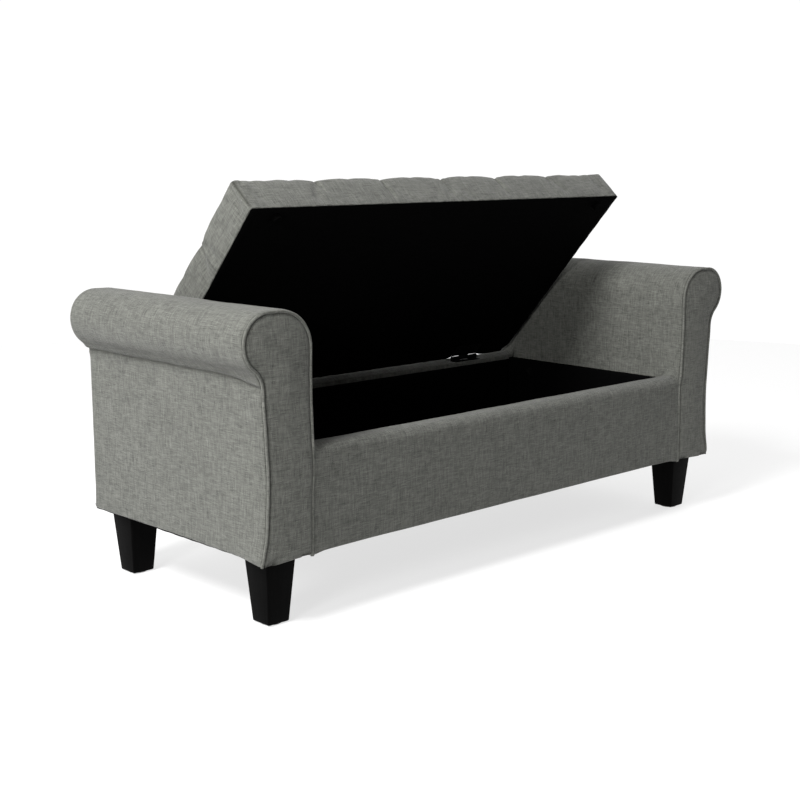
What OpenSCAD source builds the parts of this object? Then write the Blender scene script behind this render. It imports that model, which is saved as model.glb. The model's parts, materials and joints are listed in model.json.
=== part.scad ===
// Storage bench with two rolled arms and a tufted, hinged lid over an open box.
// Floor at z = 0, front towards -Y. The lid stands open, as its friction hinges hold it.

/* [Overall] */
// Clear width between the two arms
inner_w = 1000; // [700:10:1500]
// Depth of the arms, front to back
arm_depth = 505; // [420:5:640]
// Height of the arms above the floor
arm_h = 518; // [430:2:640]
// Thickness of an arm below its roll
arm_t = 100; // [82:2:140]
// Height of the underside of the body
body_z = 117; // [90:1:160]
// Height of the top of the box rails
box_z = 294; // [240:2:360]

/* [Arm roll] */
// Radius of the roll towards the seat
roll_in_r = 65; // [50:1:68]
// Radius of the roll on the outer side
roll_out_r = 51; // [44:1:58]
// How far the roll stands out past the arm's outer face
roll_overhang = 38; // [34:1:50]
// Radius of the hollow neck under the roll
neck_r = 45; // [25:1:70]

/* [Timber] */
// Thickness of the shaped boards at the ends of an arm
end_board_t = 15; // [9:1:22]
// Thickness of an arm's base board
base_board_t = 18; // [12:1:25]
// Thickness of the box's front and rear rails
rail_t = 22; // [16:1:28]
// Thickness of the box's side boards
side_board_t = 15; // [9:1:22]
// Thickness of the rails inside an arm
arm_rail_t = 20; // [15:1:25]
// Height of the rails inside an arm
arm_rail_h = 45; // [35:1:55]
// Thickness of the storage floor
floor_t = 9; // [6:1:18]
// Width of the slats under the storage floor
slat_w = 50; // [30:5:80]
// Height of the slats under the storage floor
slat_h = 20; // [12:1:30]

/* [Upholstery] */
// Thickness of the woven cover
cloth_t = 1.5; // [1:0.1:2.5]
// Thickness of the black cloth under the body and the lid
black_cloth_t = 1; // [0.5:0.1:1.4]
// Thickness of the padding round an arm
arm_pad_t = 10; // [6:1:14]
// Thickness of the padding on the front rail
front_pad_t = 12; // [8:1:18]
// Thickness of the padding on the rear rail
rear_pad_t = 9; // [6:1:14]
// Thickness of the padding on top of the rails
rail_top_pad_t = 6; // [3:1:10]
// Rounding along the top front of the front rail
rail_round = 14; // [8:1:16]
// Thickness of the facing panel on the front of an arm
facing_t = 6; // [4:0.5:9]
// Diameter of the piping round an arm's front
piping_d = 7; // [5:0.5:9]
// Length of the piping's ends below the body
piping_tail = 6; // [0:1:12]
// Thickness of the boards that line the box
lining_t = 3; // [2:0.5:5]
// How far the box rails sit back from the ends of the arms
rail_setback = 5; // [2:0.5:12]

/* [Lid] */
// Depth of the lid, rear to front
lid_depth = 480; // [380:5:600]
// Thickness of the lid with its padding
lid_t = 70; // [50:1:90]
// Gap between the lid and each arm
lid_side_gap = 11; // [6:0.5:20]
// Thickness of the lid's board
lid_board_t = 12; // [9:1:18]
// Rounding of the lid's upright corners
lid_corner_r = 28; // [15:1:40]
// Rounding of the lid's top edge
lid_edge_r = 14; // [6:1:20]
// Angle at which the lid stands open
lid_open = 48.7; // [20:0.1:80]

/* [Hinges] */
// Distance of each hinge's middle from the middle of the bench
hinge_x = 347; // [200:1:420]
// Width of a hinge
hinge_w = 78; // [60:1:100]
// Width of the knuckle that turns with the lid
mid_knuckle_w = 27; // [20:1:36]
// Radius of a hinge knuckle
knuckle_r = 4; // [3.5:0.1:4.5]
// Radius of the hinge pin
pin_r = 2; // [1.5:0.1:2.5]
// Distance of the hinge axis from the rear ends of the arms
axis_inset = 24; // [20:0.5:27]
// Height of the hinge axis above the rails
axis_rise = 7.5; // [7:0.1:12]
// Height of the lid's underside above the hinge axis when shut
lid_lift = 5; // [5:0.1:8]
// Thickness of a hinge leaf
leaf_t = 2; // [1.5:0.1:2.2]
// Length of the lid leaf
lid_leaf_l = 34; // [28:1:60]

/* [Legs] */
// Side of a leg's square foot
leg_foot_w = 43; // [25:1:60]
// Side of a leg's square top
leg_top_w = 61; // [40:1:80]
// Distance of a leg's middle from the end of its arm
leg_inset = 56.5; // [45:0.5:90]
// Thickness of the glide under each leg
glide_t = 2; // [1:0.5:4]
// Radius of the glide under each leg
glide_r = 17; // [8:0.5:18]

/* [Fasteners] */
// Radius of a leg bolt
leg_bolt_r = 4; // [3:0.5:5]
// Depth of a leg bolt in its leg
leg_bolt_in = 32; // [20:1:45]
// Radius of an arm bolt
arm_bolt_r = 3; // [2.5:0.5:4]
// Radius of a hinge screw
screw_r = 1.75; // [1.5:0.05:2]
// Radius of a screw head
screw_head_r = 3.2; // [3:0.1:3.5]
// Radius of a lid bumper
bumper_r = 9; // [6:0.5:12]

/* [Hidden] */
$fn = 64;
// Gap left between pieces that lie against each other
fit = 0.3;
// Radial clearance of a bolt or pin that turns or slides in
run = 0.05;
// Radial clearance of a bolt in a drilled board
drill = 0.4;
// Overshoot of a cut past the face that it opens
over = 1;

axis_z = box_z + axis_rise;
// The middle of the whole outline, with the lid's rear corner behind the arms, lies at y = 0
lid_reach = arm_depth - axis_inset + lid_edge_r
    + (lid_lift + lid_t - lid_edge_r) * sin(lid_open) - lid_edge_r * cos(lid_open);
whole_depth = max(arm_depth, lid_reach);
front_y = -whole_depth / 2;
rear_y = front_y + arm_depth;
axis_y = rear_y - axis_inset;
half_w = inner_w / 2;

// Depths of the layers of an arm, measured inwards from its outer surface
skin = cloth_t;
core = cloth_t + arm_pad_t;
facing_in = piping_d + 0.1;
shell_front_y = front_y + piping_d + 0.1;
end_board_y = front_y + facing_t + fit;
core_rear_y = rear_y - skin - fit;

roll_in_x = roll_in_r;
roll_in_z = arm_h - roll_in_r;
roll_out_x = arm_t + roll_overhang - roll_out_r;
roll_out_z = arm_h - roll_out_r;
neck_x = arm_t + neck_r;
neck_z = roll_out_z - sqrt(pow(roll_out_r + neck_r, 2) - pow(neck_x - roll_out_x, 2));
// Angle below level at which the roll meets the neck
neck_angle = atan2(roll_out_z - neck_z, neck_x - roll_out_x);

// Rails of the box
inside_z = body_z + cloth_t;
front_face_y = front_y + rail_setback;
front_rail_y = front_face_y + cloth_t + front_pad_t;
front_inner_y = front_rail_y + rail_t;
rear_face_y = rear_y - rail_setback;
rear_rail_y = rear_face_y - cloth_t - rear_pad_t;
rear_inner_y = rear_rail_y - rail_t;
rail_top_z = box_z - cloth_t - rail_top_pad_t;
// Depth that the cover turns down inside the box
flap_h = 9;
rail_w = inner_w - 2 * fit;

// Inside of the box
floor_z = inside_z + slat_h;
floor_top_z = floor_z + floor_t;
side_inner_x = half_w - fit - side_board_t;
lining_inner_x = side_inner_x - lining_t;
lining_top_z = box_z - flap_h - fit;
box_inner_front_y = front_inner_y + lining_t;
box_inner_rear_y = rear_inner_y - lining_t;
slat_count = 4;

// Layers of the lid, measured from the hinge axis with the lid shut
lid_w = inner_w - 2 * lid_side_gap;
lid_cloth_z = lid_lift;
lid_board_z = lid_cloth_z + black_cloth_t;
lid_foam_z = lid_board_z + lid_board_t;
lid_top_z = lid_lift + lid_t;
bumper_h = axis_rise + lid_lift - 0.5;
bumper_inset = 22;
bumper_side_inset = 60;
cloth_hem = 3;

// Places of the fasteners
arm_bolt_y = [front_y + 105, rear_y - 105];
arm_rail_z = [inside_z + base_board_t + 6, box_z - arm_rail_h - 8];
arm_bolt_z = [arm_rail_z[0] + arm_rail_h / 2, arm_rail_z[1] + arm_rail_h / 2];
leg_y = [front_y + leg_inset, rear_y - leg_inset];
leg_x = half_w + arm_t / 2;
leg_nut_flange_r = 11;
leg_nut_r = leg_bolt_r + 1.4;
leg_nut_l = 12;
nut_flange_t = 1.5;
arm_nut_flange_r = 8;
arm_nut_r = arm_bolt_r + 1.2;
arm_nut_l = 10;
arm_head_r = 6;
arm_head_t = 4;
washer_r = 8.5;
washer_t = 1.2;
// Middle of the box leaf's screws, in front of the pin
box_screw_y = -knuckle_r - screw_head_r - 1.3;
box_screw_x = [-30, -10, 10, 30];
lid_screw_x = [-28, 0, 28];
lid_screw_y = [-14, -26];
screw_head_t = 1.2;
screw_l = 12;
box_leaf_front = -13;
box_leaf_rear = 6;
leaf_neck = 6;

// ---- Helpers ----

// side is -1 for the left arm and 1 for the right; x runs outwards from the arm's inner face
module on_side(side) {
    if (side < 0) {
        mirror([1, 0, 0]) translate([half_w, 0, 0]) children();
    }
    else {
        translate([half_w, 0, 0]) children();
    }
}

// Extrudes an outline drawn across the bench, in x and z, from y0 back to y1
module along_y(y0, y1) {
    translate([0, y1, 0]) rotate([90, 0, 0]) linear_extrude(y1 - y0) children();
}

// Extrudes an outline drawn in y and z, centred on x = 0
module along_x(width) {
    rotate([90, 0, 90]) linear_extrude(width, center = true) children();
}

// A block between two corners
module block(low, high) {
    translate(low) cube([high[0] - low[0], high[1] - low[1], high[2] - low[2]]);
}

module x_rod(radius, x0, x1) {
    translate([x0, 0, 0]) rotate([0, 90, 0]) cylinder(r = radius, h = x1 - x0);
}

// Outline of an arm seen from the front, drawn in by the given depth
module arm_outline(inset, bottom_z) {
    neck_join_x = roll_out_x + roll_out_r * cos(neck_angle);
    neck_join_z = roll_out_z - roll_out_r * sin(neck_angle);
    union() {
        translate([inset, bottom_z]) square([arm_t - 2 * inset, roll_in_z - bottom_z]);
        translate([roll_in_x, roll_in_z]) circle(r = roll_in_r - inset);
        translate([roll_out_x, roll_out_z]) circle(r = roll_out_r - inset);
        translate([roll_in_x, roll_in_z - over]) square([roll_out_x - roll_in_x, roll_in_r - inset + over]);
        difference() {
            polygon([
                [arm_t / 2, neck_z],
                [arm_t - inset, neck_z],
                [neck_join_x - inset * cos(neck_angle), neck_join_z + inset * sin(neck_angle)],
                [roll_out_x, roll_out_z],
                [arm_t / 2, roll_out_z]
            ]);
            translate([neck_x, neck_z]) circle(r = neck_r + inset);
        }
    }
}

// An arch-shaped layer of an arm between two depths, open underneath
module arm_layer(outer, inner, bottom_z, y0, y1) {
    difference() {
        along_y(y0, y1) arm_outline(outer, bottom_z);
        along_y(y0 - over, y1 + over) arm_outline(inner, bottom_z - over);
    }
}

// Holes for the bolts that join an arm to the box; x runs outwards from the arm's inner face
module arm_bolt_holes(radius, x0, x1) {
    for (y = arm_bolt_y) {
        for (z = arm_bolt_z) {
            translate([0, y, z]) x_rod(radius, x0, x1);
        }
    }
}

// ---- Arms ----

module arm_end_board(side, y0) {
    color("burlywood") on_side(side) along_y(y0, y0 + end_board_t) arm_outline(core + fit, inside_z);
}

module arm_base_board(side) {
    y0 = end_board_y + end_board_t + fit;
    y1 = core_rear_y - end_board_t - fit;
    color("burlywood") on_side(side) difference() {
        block([core + fit, y0, inside_z], [arm_t - core - fit, y1, inside_z + base_board_t]);
        for (y = leg_y) {
            translate([arm_t / 2, y, inside_z - over]) cylinder(r = leg_nut_r + run, h = base_board_t + 2 * over);
        }
    }
}

module arm_rails(side) {
    y0 = end_board_y + end_board_t + fit;
    y1 = core_rear_y - end_board_t - fit;
    x0 = core + fit;
    x1 = arm_t - core - fit;
    top_z = arm_h - core - fit;
    color("burlywood") on_side(side) {
        difference() {
            union() {
                for (z = arm_rail_z) {
                    block([x0, y0, z], [x0 + arm_rail_t, y1, z + arm_rail_h]);
                }
            }
            arm_bolt_holes(arm_nut_r + run, 0, arm_t);
        }
        block([x1 - arm_rail_t, y0, arm_rail_z[0]], [x1, y1, arm_rail_z[0] + arm_rail_h]);
        block([x1 - arm_rail_t, y0, neck_z - arm_rail_h], [x1, y1, neck_z]);
        block([roll_in_x, y0, top_z - arm_rail_t], [roll_out_x, y1, top_z]);
    }
}

// The padding of an arm is two flat sides up to the neck, and an arch over the roll above it
module arm_side_padding(side) {
    color("ivory") on_side(side) difference() {
        union() {
            for (x = [skin + fit / 2, arm_t - core]) {
                block([x, shell_front_y, inside_z], [x + arm_pad_t - fit / 2, core_rear_y, neck_z - fit]);
            }
        }
        arm_bolt_holes(arm_bolt_r + drill, -over, core + over);
    }
}

module arm_roll_padding(side) {
    color("ivory") on_side(side) intersection() {
        arm_layer(skin + fit / 2, core, inside_z, shell_front_y, core_rear_y);
        block([-arm_t, shell_front_y - over, neck_z], [2 * arm_t, core_rear_y + over, arm_h]);
    }
}

module arm_cover(side) {
    color("gray") on_side(side) difference() {
        along_y(shell_front_y, rear_y) arm_outline(0, body_z);
        along_y(shell_front_y - over, rear_y - skin) arm_outline(skin, body_z - over);
        arm_bolt_holes(arm_bolt_r + drill, -over, core + over);
    }
}

module arm_facing(side) {
    color("dimgray") on_side(side) along_y(front_y, front_y + facing_t) arm_outline(facing_in, body_z);
}

module arm_piping(side) {
    color("gray") on_side(side)
        arm_layer(0, piping_d, body_z - piping_tail, front_y, front_y + piping_d);
}

module arm_dust_cloth(side) {
    color("black") on_side(side) difference() {
        block(
            [skin + fit, shell_front_y, body_z],
            [arm_t - skin - fit, rear_y - skin - fit, body_z + black_cloth_t]
        );
        for (y = leg_y) {
            translate([arm_t / 2, y, body_z - over]) cylinder(r = leg_bolt_r + drill, h = black_cloth_t + 2 * over);
        }
    }
}

module left_arm_front_board() { arm_end_board(-1, end_board_y); }
module right_arm_front_board() { arm_end_board(1, end_board_y); }
module left_arm_back_board() { arm_end_board(-1, core_rear_y - end_board_t); }
module right_arm_back_board() { arm_end_board(1, core_rear_y - end_board_t); }
module left_arm_base_board() { arm_base_board(-1); }
module right_arm_base_board() { arm_base_board(1); }
module left_arm_rails() { arm_rails(-1); }
module right_arm_rails() { arm_rails(1); }
module left_arm_side_padding() { arm_side_padding(-1); }
module right_arm_side_padding() { arm_side_padding(1); }
module left_arm_roll_padding() { arm_roll_padding(-1); }
module right_arm_roll_padding() { arm_roll_padding(1); }
module left_arm_cover() { arm_cover(-1); }
module right_arm_cover() { arm_cover(1); }
module left_arm_facing() { arm_facing(-1); }
module right_arm_facing() { arm_facing(1); }
module left_arm_piping() { arm_piping(-1); }
module right_arm_piping() { arm_piping(1); }
module left_arm_dust_cloth() { arm_dust_cloth(-1); }
module right_arm_dust_cloth() { arm_dust_cloth(1); }

// ---- Box ----

// Section of a rail's upholstery in y and z: face_y is the outer side, inner_y the side towards the box
module rail_section(face_y, inner_y, low_z, high_z, face_r, inner_r) {
    dir = inner_y > face_y ? 1 : -1;
    union() {
        translate([min(face_y, inner_y), low_z]) square([abs(inner_y - face_y), high_z - low_z - max(face_r, inner_r)]);
        translate([face_y + dir * face_r, high_z - face_r]) circle(r = face_r);
        translate([inner_y - dir * inner_r, high_z - inner_r]) circle(r = inner_r);
        translate([min(face_y + dir * face_r, inner_y - dir * inner_r), low_z])
            square([abs(inner_y - face_y) - face_r - inner_r, high_z - low_z]);
        translate([min(face_y + dir * face_r, inner_y), low_z])
            square([abs(inner_y - face_y) - face_r, high_z - low_z - inner_r]);
        translate([min(face_y, inner_y - dir * inner_r), low_z])
            square([abs(inner_y - face_y) - inner_r, high_z - low_z - face_r]);
    }
}

module box_rail(y0) {
    color("burlywood") block([-rail_w / 2, y0, inside_z + fit], [rail_w / 2, y0 + rail_t, rail_top_z]);
}

module rail_padding(face_y, board_y, inner_y, face_r) {
    dir = inner_y > face_y ? 1 : -1;
    color("ivory") difference() {
        along_x(rail_w) rail_section(face_y + dir * skin, inner_y, inside_z + fit, box_z - skin, face_r - skin, 2);
        block(
            [-rail_w / 2 - over, min(board_y, inner_y + dir * over), inside_z - over],
            [rail_w / 2 + over, max(board_y, inner_y + dir * over), rail_top_z + fit / 2]
        );
    }
}

module rail_cover(face_y, inner_y, face_r) {
    dir = inner_y > face_y ? 1 : -1;
    inner_face = inner_y + dir * skin;
    color("gray") difference() {
        along_x(rail_w) rail_section(face_y, inner_face, body_z, box_z, face_r, 2 + skin);
        along_x(rail_w + 2 * over) rail_section(face_y + dir * skin, inner_y, inside_z, box_z - skin, face_r - skin, 2);
        block(
            [-rail_w / 2 - over, min(inner_y, inner_face + dir * over), body_z - over],
            [rail_w / 2 + over, max(inner_y, inner_face + dir * over), box_z - flap_h]
        );
    }
}

module front_rail() { box_rail(front_rail_y); }
module rear_rail() { box_rail(rear_inner_y); }

module front_rail_padding() {
    rail_padding(front_face_y, front_rail_y, front_inner_y, rail_round);
}

module rear_rail_padding() {
    rail_padding(rear_face_y, rear_rail_y, rear_inner_y, rail_round / 2);
}

module front_rail_cover() {
    rail_cover(front_face_y, front_inner_y, rail_round);
}

module rear_rail_cover() {
    rail_cover(rear_face_y, rear_inner_y, rail_round / 2);
}

module side_board(side) {
    color("burlywood") difference() {
        on_side(side) block(
            [-fit - side_board_t, front_inner_y + skin + fit, inside_z],
            [-fit, rear_inner_y - skin - fit, rail_top_z]
        );
        on_side(side) arm_bolt_holes(arm_bolt_r + drill, -side_board_t - over, over);
    }
}

module side_lining(side) {
    color("black") difference() {
        on_side(side) block(
            [-fit - side_board_t - lining_t, box_inner_front_y + fit, floor_top_z + fit],
            [-fit - side_board_t - fit, box_inner_rear_y - fit, lining_top_z]
        );
        on_side(side) arm_bolt_holes(arm_bolt_r + drill, -side_board_t - lining_t - over, over);
    }
}

module end_lining(y0) {
    color("black") block(
        [-side_inner_x + fit, y0, floor_top_z + fit],
        [side_inner_x - fit, y0 + lining_t - fit, lining_top_z]
    );
}

module left_side_board() { side_board(-1); }
module right_side_board() { side_board(1); }
module left_lining() { side_lining(-1); }
module right_lining() { side_lining(1); }
module front_lining() { end_lining(front_inner_y + fit); }
module rear_lining() { end_lining(box_inner_rear_y); }

module storage_floor() {
    color("black") block(
        [-side_inner_x + fit, front_inner_y + fit, floor_z],
        [side_inner_x - fit, rear_inner_y - fit, floor_top_z]
    );
}

module floor_slats() {
    pitch = (2 * side_inner_x - slat_w - 2 * fit) / (slat_count - 1);
    color("burlywood") for (i = [0 : slat_count - 1]) {
        x0 = -side_inner_x + fit + i * pitch;
        block([x0, front_inner_y + fit, inside_z], [x0 + slat_w, rear_inner_y - fit, floor_z - fit / 2]);
    }
}

module box_dust_cloth() {
    color("black") block(
        [-half_w + 2 * fit, front_inner_y + fit, body_z],
        [half_w - 2 * fit, rear_inner_y - fit, body_z + black_cloth_t]
    );
}

// ---- Bolts between the arms and the box ----

module each_arm_bolt() {
    for (side = [-1, 1]) {
        on_side(side) for (y = arm_bolt_y) {
            for (z = arm_bolt_z) {
                translate([0, y, z]) children();
            }
        }
    }
}

module arm_bolts() {
    head_x = -fit - side_board_t - lining_t - washer_t;
    color("dimgray") each_arm_bolt() {
        x_rod(arm_bolt_r, head_x, core + fit + arm_rail_t + nut_flange_t + 2);
        x_rod(arm_head_r, head_x - arm_head_t, head_x);
    }
}

module arm_bolt_washers() {
    x1 = -fit - side_board_t - lining_t;
    color("silver") each_arm_bolt() difference() {
        x_rod(washer_r, x1 - washer_t, x1);
        x_rod(arm_bolt_r + run, x1 - washer_t - over, x1 + over);
    }
}

module arm_bolt_nuts() {
    x1 = core + fit + arm_rail_t;
    color("silver") each_arm_bolt() difference() {
        union() {
            x_rod(arm_nut_r, x1 - arm_nut_l, x1 + nut_flange_t);
            x_rod(arm_nut_flange_r, x1, x1 + nut_flange_t);
        }
        x_rod(arm_bolt_r + run, x1 - arm_nut_l - over, x1 + nut_flange_t + over);
    }
}

// ---- Legs ----

// Outline of a leg's taper from foot to top
module leg_taper() {
    polygon([
        [-leg_foot_w / 2, glide_t], [leg_foot_w / 2, glide_t],
        [leg_top_w / 2, body_z], [-leg_top_w / 2, body_z]
    ]);
}

module leg(x_sign, y) {
    color("black") translate([x_sign * leg_x, y, 0]) difference() {
        intersection() {
            along_y(-leg_top_w, leg_top_w) leg_taper();
            along_x(2 * leg_top_w) leg_taper();
        }
        translate([0, 0, body_z - leg_bolt_in]) cylinder(r = leg_bolt_r + run, h = leg_bolt_in + over);
    }
}

module each_leg() {
    for (x = [-leg_x, leg_x]) {
        for (y = leg_y) {
            translate([x, y, 0]) children();
        }
    }
}

module front_left_leg() { leg(-1, leg_y[0]); }
module front_right_leg() { leg(1, leg_y[0]); }
module rear_left_leg() { leg(-1, leg_y[1]); }
module rear_right_leg() { leg(1, leg_y[1]); }

module leg_glides() {
    color("dimgray") each_leg() cylinder(r = glide_r, h = glide_t);
}

module leg_bolts() {
    low_z = body_z - leg_bolt_in + over;
    color("silver") each_leg() translate([0, 0, low_z])
        cylinder(r = leg_bolt_r, h = inside_z + base_board_t + nut_flange_t + 2 - low_z);
}

module leg_nuts() {
    top_z = inside_z + base_board_t;
    color("silver") each_leg() difference() {
        union() {
            translate([0, 0, top_z]) cylinder(r = leg_nut_flange_r, h = nut_flange_t);
            translate([0, 0, top_z - leg_nut_l]) cylinder(r = leg_nut_r, h = leg_nut_l + nut_flange_t);
        }
        translate([0, 0, top_z - leg_nut_l - over]) cylinder(r = leg_bolt_r + run, h = leg_nut_l + 2 * over + nut_flange_t);
    }
}

// ---- Hinges, box side ----

module at_hinge(side) {
    translate([side * hinge_x, axis_y, axis_z]) children();
}

module hinge_box_leaf(side) {
    knuckle_x = mid_knuckle_w / 2 + fit;
    color("black") at_hinge(side) difference() {
        union() {
            block([-hinge_w / 2, box_leaf_front, -axis_rise], [hinge_w / 2, box_leaf_rear, leaf_t - axis_rise]);
            for (end = [-1, 1]) {
                x0 = end > 0 ? knuckle_x : -hinge_w / 2;
                x1 = end > 0 ? hinge_w / 2 : -knuckle_x;
                x_rod(knuckle_r, x0, x1);
                block([x0, -knuckle_r / 2, -axis_rise + leaf_t / 2], [x1, knuckle_r / 2, 0]);
            }
        }
        x_rod(pin_r, -hinge_w / 2 - over, hinge_w / 2 + over);
        for (x = box_screw_x) {
            translate([x, box_screw_y, -axis_rise - over]) cylinder(r = screw_r + run, h = leaf_t + 2 * over);
        }
    }
}

module hinge_pin(side) {
    color("silver") at_hinge(side) x_rod(pin_r, -hinge_w / 2 - over, hinge_w / 2 + over);
}

module hinge_box_screws() {
    color("silver") for (side = [-1, 1]) {
        at_hinge(side) for (x = box_screw_x) {
            translate([x, box_screw_y, leaf_t - axis_rise]) {
                translate([0, 0, -screw_l]) cylinder(r = screw_r, h = screw_l + screw_head_t);
                cylinder(r = screw_head_r, h = screw_head_t);
            }
        }
    }
}

module left_hinge_box_leaf() { hinge_box_leaf(-1); }
module right_hinge_box_leaf() { hinge_box_leaf(1); }
module left_hinge_pin() { hinge_pin(-1); }
module right_hinge_pin() { hinge_pin(1); }

// ---- Lid ----

// Lid pieces are drawn shut, from the hinge axis, and turned open from there
module on_lid() {
    translate([0, axis_y, axis_z]) rotate([-lid_open, 0, 0]) children();
}

// Rounded block of the lid, drawn in by the given depth
module lid_block(inset, z0, z1) {
    r = lid_corner_r - inset;
    edge = lid_edge_r - inset;
    half = lid_w / 2 - inset;
    intersection() {
        union() {
            block([-half + r, -lid_depth + inset, z0], [half - r, -inset, z1]);
            block([-half, -lid_depth + inset + r, z0], [half, -inset - r, z1]);
            for (x = [-half + r, half - r]) {
                for (y = [-lid_depth + inset + r, -inset - r]) {
                    translate([x, y, z0]) cylinder(r = r, h = z1 - z0);
                }
            }
        }
        along_y(-lid_depth, 0) edge_outline(-half, half, z0, z1, edge);
        along_x(lid_w) edge_outline(-lid_depth + inset, -inset, z0, z1, edge);
    }
}

// A rectangle with its two upper corners rounded
module edge_outline(a0, a1, z0, z1, r) {
    union() {
        translate([a0, z0]) square([a1 - a0, z1 - z0 - r]);
        translate([a0 + r, z0]) square([a1 - a0 - 2 * r, z1 - z0]);
        translate([a0 + r, z1 - r]) circle(r = r);
        translate([a1 - r, z1 - r]) circle(r = r);
    }
}

module each_lid_screw() {
    for (side = [-1, 1]) {
        for (x = lid_screw_x) {
            for (y = lid_screw_y) {
                translate([side * hinge_x + x, y, 0]) children();
            }
        }
    }
}

module lid_board() {
    inset = skin + fit;
    r = lid_corner_r - inset;
    color("burlywood") on_lid() difference() {
        union() {
            block([-lid_w / 2 + inset + r, -lid_depth + inset, lid_board_z],
                [lid_w / 2 - inset - r, -inset, lid_foam_z - fit / 2]);
            block([-lid_w / 2 + inset, -lid_depth + inset + r, lid_board_z],
                [lid_w / 2 - inset, -inset - r, lid_foam_z - fit / 2]);
            for (x = [-lid_w / 2 + inset + r, lid_w / 2 - inset - r]) {
                for (y = [-lid_depth + inset + r, -inset - r]) {
                    translate([x, y, lid_board_z]) cylinder(r = r, h = lid_board_t - fit / 2);
                }
            }
        }
        each_lid_screw() translate([0, 0, lid_board_z - over]) cylinder(r = screw_r, h = screw_l - leaf_t + over);
    }
}

module lid_foam() {
    color("ivory") on_lid() lid_block(skin + fit / 2, lid_foam_z, lid_top_z - skin - fit / 2);
}

module lid_cover() {
    color("gray") on_lid() difference() {
        lid_block(0, lid_board_z, lid_top_z);
        lid_block(skin, lid_board_z - over, lid_top_z - skin);
    }
}

module lid_underside_cloth() {
    color("black") on_lid() difference() {
        block(
            [-lid_w / 2 + cloth_hem, -lid_depth + cloth_hem, lid_cloth_z],
            [lid_w / 2 - cloth_hem, -cloth_hem, lid_board_z]
        );
        each_lid_screw() translate([0, 0, lid_cloth_z - over]) cylinder(r = screw_r + run, h = black_cloth_t + 2 * over);
        for (x = [-1, 1]) {
            for (y = [0, -lid_depth]) {
                translate([x * lid_w / 2, y, lid_cloth_z - over]) rotate([0, 0, 45])
                    cube([lid_corner_r, lid_corner_r, 4 * over], center = true);
            }
        }
    }
}

module lid_bumpers() {
    color("black") on_lid() for (x = [-1, 1]) {
        translate([x * (lid_w / 2 - bumper_side_inset), -lid_depth + bumper_inset, lid_cloth_z - bumper_h])
            cylinder(r = bumper_r, h = bumper_h);
    }
}

module hinge_lid_leaf(side) {
    half = mid_knuckle_w / 2;
    color("black") on_lid() translate([side * hinge_x, 0, 0]) difference() {
        union() {
            x_rod(knuckle_r, -half, half);
            block([-half, -leaf_neck, lid_lift - leaf_t], [half, 0, lid_lift]);
            block([-hinge_w / 2, -lid_leaf_l, lid_lift - leaf_t], [hinge_w / 2, -leaf_neck, lid_lift]);
        }
        x_rod(pin_r + run, -half - over, half + over);
        for (x = lid_screw_x) {
            for (y = lid_screw_y) {
                translate([x, y, lid_lift - leaf_t - over]) cylinder(r = screw_r + run, h = leaf_t + 2 * over);
            }
        }
    }
}

module hinge_lid_screws() {
    color("silver") on_lid() each_lid_screw() translate([0, 0, lid_lift - leaf_t]) {
        cylinder(r = screw_r, h = screw_l);
        translate([0, 0, -screw_head_t]) cylinder(r = screw_head_r, h = screw_head_t);
    }
}

module left_hinge_lid_leaf() { hinge_lid_leaf(-1); }
module right_hinge_lid_leaf() { hinge_lid_leaf(1); }

// ---- What is drawn ----

left_arm_front_board();
right_arm_front_board();
left_arm_back_board();
right_arm_back_board();
left_arm_base_board();
right_arm_base_board();
left_arm_rails();
right_arm_rails();
left_arm_side_padding();
right_arm_side_padding();
left_arm_roll_padding();
right_arm_roll_padding();
left_arm_cover();
right_arm_cover();
left_arm_facing();
right_arm_facing();
left_arm_piping();
right_arm_piping();
left_arm_dust_cloth();
right_arm_dust_cloth();
front_rail();
rear_rail();
left_side_board();
right_side_board();
front_rail_padding();
rear_rail_padding();
front_rail_cover();
rear_rail_cover();
front_lining();
rear_lining();
left_lining();
right_lining();
storage_floor();
floor_slats();
box_dust_cloth();
arm_bolts();
arm_bolt_washers();
arm_bolt_nuts();
front_left_leg();
front_right_leg();
rear_left_leg();
rear_right_leg();
leg_glides();
leg_bolts();
leg_nuts();
left_hinge_box_leaf();
right_hinge_box_leaf();
left_hinge_pin();
right_hinge_pin();
hinge_box_screws();
left_hinge_lid_leaf();
right_hinge_lid_leaf();
hinge_lid_screws();
lid_board();
lid_foam();
lid_cover();
lid_underside_cloth();
lid_bumpers();
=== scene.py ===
import json
import math
import bpy
import bmesh
from mathutils import Matrix, Vector, noise
from mathutils.kdtree import KDTree


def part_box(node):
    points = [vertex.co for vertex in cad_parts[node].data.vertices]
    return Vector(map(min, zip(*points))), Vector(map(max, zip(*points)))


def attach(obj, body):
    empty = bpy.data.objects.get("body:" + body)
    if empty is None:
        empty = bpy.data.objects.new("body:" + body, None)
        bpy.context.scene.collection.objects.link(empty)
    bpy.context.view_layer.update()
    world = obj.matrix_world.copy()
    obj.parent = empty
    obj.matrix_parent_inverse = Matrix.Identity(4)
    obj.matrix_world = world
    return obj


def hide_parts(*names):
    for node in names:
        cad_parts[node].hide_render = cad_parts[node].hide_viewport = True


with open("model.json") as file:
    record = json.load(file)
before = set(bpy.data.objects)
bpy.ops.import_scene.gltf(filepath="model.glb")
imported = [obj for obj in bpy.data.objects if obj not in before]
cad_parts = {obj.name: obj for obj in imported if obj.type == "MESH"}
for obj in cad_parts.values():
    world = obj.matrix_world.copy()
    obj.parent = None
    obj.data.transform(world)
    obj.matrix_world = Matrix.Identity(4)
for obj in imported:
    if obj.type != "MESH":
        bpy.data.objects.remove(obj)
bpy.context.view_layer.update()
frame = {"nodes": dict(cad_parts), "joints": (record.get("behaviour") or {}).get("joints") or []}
print("frame loaded")

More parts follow.
